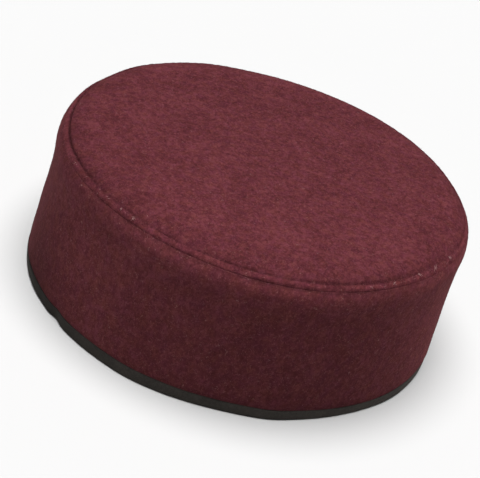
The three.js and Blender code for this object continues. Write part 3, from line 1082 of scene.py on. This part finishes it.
# %% Binding
BINDING_SECTION = (
    (-0.5, 3.6), (-0.5, 5.75), (-0.32, 6.0), (-0.12, 5.9), (0.0, 5.5), (0.08, 4.4), (0.1, 3.0), (0.06, 1.7),
    (-0.08, 0.75), (-0.4, 0.18), (-0.9, 0.0), (-1.5, 0.0), (-2.1, 0.0), (-2.7, 0.2), (-3.05, 0.9),
    (-3.1, 2.4), (-3.1, 4.5), (-3.1, 6.6), (-2.98, 7.4), (-2.75, 7.6), (-2.5, 7.4), (-2.5, 5.0),
    (-2.5, 1.1), (-2.2, 0.7), (-0.8, 0.7), (-0.5, 1.1),
)
BINDING_STEP = 0.33
LAP_RISE = (186.0, 200.0)
LAP_FALL = (205.0, 214.0)
LAP_HEIGHT = 0.45
PUCKER = {"height": 0.12, "reach": 17, "level": 5, "climb": 0.12}
SWAY = {"height": 0.25, "reach": 3, "level": 2.2}
EDGE_WANDER = {"height": 0.2, "reach": 8, "level": 0.4}
OUTER_LEG = (-0.6, 0.1)
OUTSIDE_HALF = (-1.4, -0.6)
ABOVE_FLOOR = (0.0, 1.2)
UPPER_EDGE = (2.5, 5.5)
DIP_LEG = (0.6, 6.0)
# Painted light round the binding: painted shade on the left, where its ends lap, and lighter on the right.
BINDING_PAINTED_LIGHT = (
    (0, 0.0), (175, 0.0), (188, -0.55), (207, -0.67), (216, -0.57), (226, -0.28), (246, 0.02), (258, 0.06),
    (270, 0.0), (305, 0.20), (325, 0.28), (340, 0.15),
)
BINDING_DARK = (0.0166, 0.0145, 0.0129, 1)
BINDING_LIGHT = (0.0398, 0.0349, 0.0302, 1)
BINDING_GRAINS = {"drift": (9, 2), "slub": (1.3, 2, 0.6, 0.4), "weave": (0.5, 1, 0.5, 0.0, (0.4, 0.9, 0.1))}
CLOTH_TONE = {"drift": 0.5, "slub": 0.8, "weave": 0.7}
CLOTH_HEIGHT = {"weave": 0.6, "slub": 0.4}
CLOTH_RANGE = (0.15, 0.85)
CLOTH_BUMP = {"Strength": 0.5, "Distance": 0.25 * MM}
CLOTH_SURFACE = {
    "Roughness": 0.85, "Specular IOR Level": 0.12, "Sheen Weight": 0.03, "Sheen Tint": (0.9, 0.8, 0.7, 1),
}


def binding_finish():
    """Dark woven cloth, uneven in tone, with a fine grain."""
    finish, shader, wire = new_finish("dark_binding")
    place = wire.node("ShaderNodeTexCoord", output="Object")
    grains = {kind: wire.grain(place, *row) for kind, row in BINDING_GRAINS.items()}
    tone = sum((grains[kind] - 0.5) * weight for kind, weight in CLOTH_TONE.items()) + 0.5
    plug_painted_light_and_wear(wire.colour_mix(tone.spread(*CLOTH_RANGE), BINDING_DARK, BINDING_LIGHT), shader)
    height = sum(grains[kind] * weight for kind, weight in CLOTH_HEIGHT.items())
    plug(wire.node("ShaderNodeBump", {}, {**CLOTH_BUMP, "Height": height}), shader, "Normal")
    settle(shader, CLOTH_SURFACE)
    return finish


def wave(turn, z, height, reach, level, climb=0.0):
    """A wave of the cloth round the cap, which a climb makes different at each height."""
    return height * ring_noise(turn, reach, level + climb * z)


def make_binding():
    """The binding's mesh: its section swept round the foot, then puckered, lapped and dipped."""
    profile = smooth_path([*BINDING_SECTION, BINDING_SECTION[0]], BINDING_STEP)[:-1]
    profile[:, 1] = np.maximum(profile[:, 1], 0)
    turn = np.tile(ring_turns, len(profile))
    offset, z = np.repeat(profile, CAP_ROUND, axis=0).T
    lap = felt_fade(np.degrees(turn), *LAP_RISE) * (1 - felt_fade(np.degrees(turn), *LAP_FALL))
    proud = wave(turn, z, **PUCKER) + wave(turn, z, **SWAY) + LAP_HEIGHT * lap
    offset = offset + felt_fade(offset, *OUTER_LEG) * felt_fade(z, *ABOVE_FLOOR) * proud
    outside = felt_fade(offset, *OUTSIDE_HALF)
    z = z + wave(turn, z, **EDGE_WANDER) * felt_fade(z, *UPPER_EDGE) * outside
    z = z - foot_dip(turn) * felt_fade(z, *DIP_LEG) * outside
    faces, corner_row, corner_column = grid_faces(len(profile), CAP_ROUND)
    mesh = mesh_of("binding_cloth", oval(turn, flare(z) + offset, z), faces.tolist())
    lay_strips(mesh, profile, corner_row, corner_column, 4)
    lay_painted_light_and_wear(mesh, round_the_cap(BINDING_PAINTED_LIGHT, turn))
    return mesh


binding = add_piece("binding_cloth", make_binding(), binding_finish(), "dark_binding", "edge_binding")

# %% [markdown]
# Brushed felt has a nap: loose fibre ends that lie over the surface and stand off its outline. A hair
# system would draw them, but hair isn't a mesh and couldn't be handed on with the part. So each fibre is a
# thin closed spike of four triangles, laid on the cloth with a seeded random draw. Beside the seam longer
# fibres lie across it and close it here and there, the rubbed ridge has fuzz and a few pale pills on it,
# and some bits of lint have caught on the cap. The shade of a fibre is a place on its map, so that a single
# ramp of colours paints all of them.

# %% Fibres
NAP_SHADES = 48
PALEST = 0.999
NAP_STOPS = (
    (0.0, (0.042, 0.008, 0.011)), (0.35, (0.074, 0.015, 0.020)), (0.65, (0.125, 0.030, 0.037)),
    (0.85, (0.200, 0.065, 0.072)), (1.0, (0.400, 0.250, 0.240)),
)
PLAIN_FIBRE = {"lean": (3, 16), "length": (-0.2, 0.4), "half": (-3.3, 0.35), "shade": (3.6, 4.0)}
SEAM_FIBRE = {"lean": (2, 12), "length": (0.35, 0.3), "half": (-3.2, 0.3), "shade": (2.4, 2.4)}
LINT_FIBRE = {"lean": (2, 10), "length": (0.0, 0.4), "half": (-2.4, 0.2), "shade": (60, 1)}
PILL_FIBRE = {"lean": (4, 20), "length": (0.1, 0.3), "half": (-2.0, 0.25), "shade": (22, 2)}
FUZZ_FIBRE = {"lean": (3, 18), "length": (0.0, 0.4), "half": (-2.5, 0.3), "shade": (6, 2.6)}
FIBRE_RUFFLE = 0.8
FIBRE_LENGTHS = (0.5, 2.4)
FIBRE_HALVES = (0.025, 0.25)
FIBRE_ROOT = 0.06
SPIKE_FACES = np.array([(0, 3, 2), (2, 3, 1), (1, 3, 0), (0, 2, 1)])
SPIKE_MAP = np.array([(0.1, 0.02), (0.9, 0.02), (0.5, 0.05), (0.5, 0.98)])


def lay_fibres(draw, cloth, is_open, count, comb, kind):
    """Spikes scattered over the open part of a cloth, combed one way and ruffled, and a shade for each."""
    mesh, points = cloth
    mesh.calc_loop_triangles()
    corners = np.empty(len(mesh.loop_triangles) * 3, int)
    mesh.loop_triangles.foreach_get("vertices", corners)
    corners = corners.reshape(-1, 3)
    corners = corners[is_open[corners].all(axis=1)]
    a, b, c = (points[corners[:, n]] for n in range(3))
    area = np.linalg.norm(np.cross(b - a, c - a), axis=1)
    picked = corners[draw.choice(len(corners), count, p=area / area.sum())]
    share = draw.dirichlet((1, 1, 1), count)
    root = np.einsum("ij,ijk->ik", share, points[picked])
    out = unit(np.einsum("ij,ijk->ik", share, normals_of(mesh)[picked]))
    lie = np.array(comb) + draw.normal(0, FIBRE_RUFFLE, (count, 3))
    lie = unit(lie - out * np.einsum("ij,ij->i", lie, out)[:, None])
    lean = np.radians(draw.uniform(*kind["lean"], count))[:, None]
    ahead = lie * np.cos(lean) + out * np.sin(lean)
    across = unit(np.cross(ahead, out))
    over = np.cross(across, ahead)
    length = np.clip(draw.lognormal(*kind["length"], count), *FIBRE_LENGTHS)[:, None]
    half = np.clip(draw.lognormal(*kind["half"], count), *FIBRE_HALVES)[:, None]
    start = root - out * FIBRE_ROOT
    ends = [across * half, -across * half, over * half, ahead * length]
    return np.stack([start + end for end in ends], 1), draw.beta(*kind["shade"], count)


def make_nap(name, lays):
    """One mesh of all the fibres laid, each with the place on the map that holds its shade."""
    spikes = np.concatenate([spike for spike, _ in lays])
    shade = np.concatenate([shade for _, shade in lays])
    shade = (np.clip(shade, 0, PALEST) * NAP_SHADES).astype(int)
    faces = (np.arange(len(spikes))[:, None, None] * 4 + SPIKE_FACES).reshape(-1, 3)
    mesh = mesh_of(name, spikes.reshape(-1, 3), faces.tolist())
    places = np.tile(SPIKE_MAP, (len(spikes), 1, 1))
    places[..., 0] = (shade[:, None] + places[..., 0]) / NAP_SHADES
    lay_map(mesh, places.reshape(-1, 2)[faces.ravel()])
    return mesh


nap_paint = ramp_finish("felt_nap", NAP_STOPS, roughness=0.9, specular=0.1)
print("fibres in", NAP_SHADES, "shades")

# %% [markdown]
# The top's nap is brushed towards the front, the band's downwards, and the fibres at the seam lie across
# it. Geometry nodes could scatter the fibres too, but then the mesh would hang on a node group.

# %% Nap
NAP_COUNT = 45000
SEAM_COUNT = 2600
LINT_COUNT = 26
CROWN_SEED = 7
BAND_SEED = 8
CROWN_COMB = (0.2, -0.3, 0.0)
DOWN_COMB = (0.0, 0.0, -0.9)
UP_COMB = (0.0, 0.0, 1.2)
# A pill is given by its turn, how far it lies below the stitch, and its fibres.
PILLS = (
    (208.2, 1.5, 3), (224.8, 1.0, 4), (230.2, 1.2, 3), (234.6, 1.4, 12), (302.6, 1.5, 3), (310.2, 1.5, 6),
    (320.2, 0.4, 8), (327.2, 1.0, 12), (336.2, 0.9, 14),
)
PILL_HALF_LENGTH = 1.1
PILL_HALF_WIDTH = 0.66
# A stretch of fuzz is given by the turns it starts and ends at, and its fibres.
FUZZ = ((204, 240, 110), (294, 346, 260))
FUZZ_BELOW = (0.3, 2.4)

crown_draw = np.random.default_rng(CROWN_SEED)
crown_cloth = (crown_mesh, crown_points)
below_stitch = np.where(on_top, crown_reach - groove_at, MIDDLE_REACH)
x, y = crown_points[:, 0], crown_points[:, 1]
at_turn = np.degrees(np.arctan2(y / RIM_HALF_WIDTH, x / RIM_HALF_LENGTH)) % 360
crown_lays = [
    lay_fibres(crown_draw, crown_cloth, crown_open, NAP_COUNT, CROWN_COMB, PLAIN_FIBRE),
    lay_fibres(crown_draw, crown_cloth, crown_lip, SEAM_COUNT, DOWN_COMB, SEAM_FIBRE),
    lay_fibres(crown_draw, crown_cloth, crown_open, LINT_COUNT, CROWN_COMB, LINT_FIBRE),
]
for pill_turn, pill_below, pill_fibres in PILLS:
    is_pill = np.abs(at_turn - pill_turn) * RIM_ROUND / 360 < PILL_HALF_LENGTH
    is_pill &= np.abs(below_stitch - pill_below) < PILL_HALF_WIDTH
    crown_lays.append(lay_fibres(crown_draw, crown_cloth, is_pill, pill_fibres, CROWN_COMB, PILL_FIBRE))
for fuzz_from, fuzz_to, fuzz_fibres in FUZZ:
    is_fuzzy = (at_turn > fuzz_from) & (at_turn < fuzz_to)
    is_fuzzy &= (below_stitch > FUZZ_BELOW[0]) & (below_stitch < FUZZ_BELOW[1])
    crown_lays.append(lay_fibres(crown_draw, crown_cloth, is_fuzzy, fuzz_fibres, CROWN_COMB, FUZZ_FIBRE))
crown_nap = add_piece("crown_nap", make_nap("crown_nap", crown_lays), nap_paint, "maroon_felt")

band_draw = np.random.default_rng(BAND_SEED)
band_cloth = (band_mesh, band_points)
band_lays = [
    lay_fibres(band_draw, band_cloth, band_open, NAP_COUNT, DOWN_COMB, PLAIN_FIBRE),
    lay_fibres(band_draw, band_cloth, band_lip, SEAM_COUNT, UP_COMB, SEAM_FIBRE),
    lay_fibres(band_draw, band_cloth, band_open, LINT_COUNT, DOWN_COMB, LINT_FIBRE),
]
band_nap = add_piece("band_nap", make_nap("band_nap", band_lays), nap_paint, "maroon_felt")
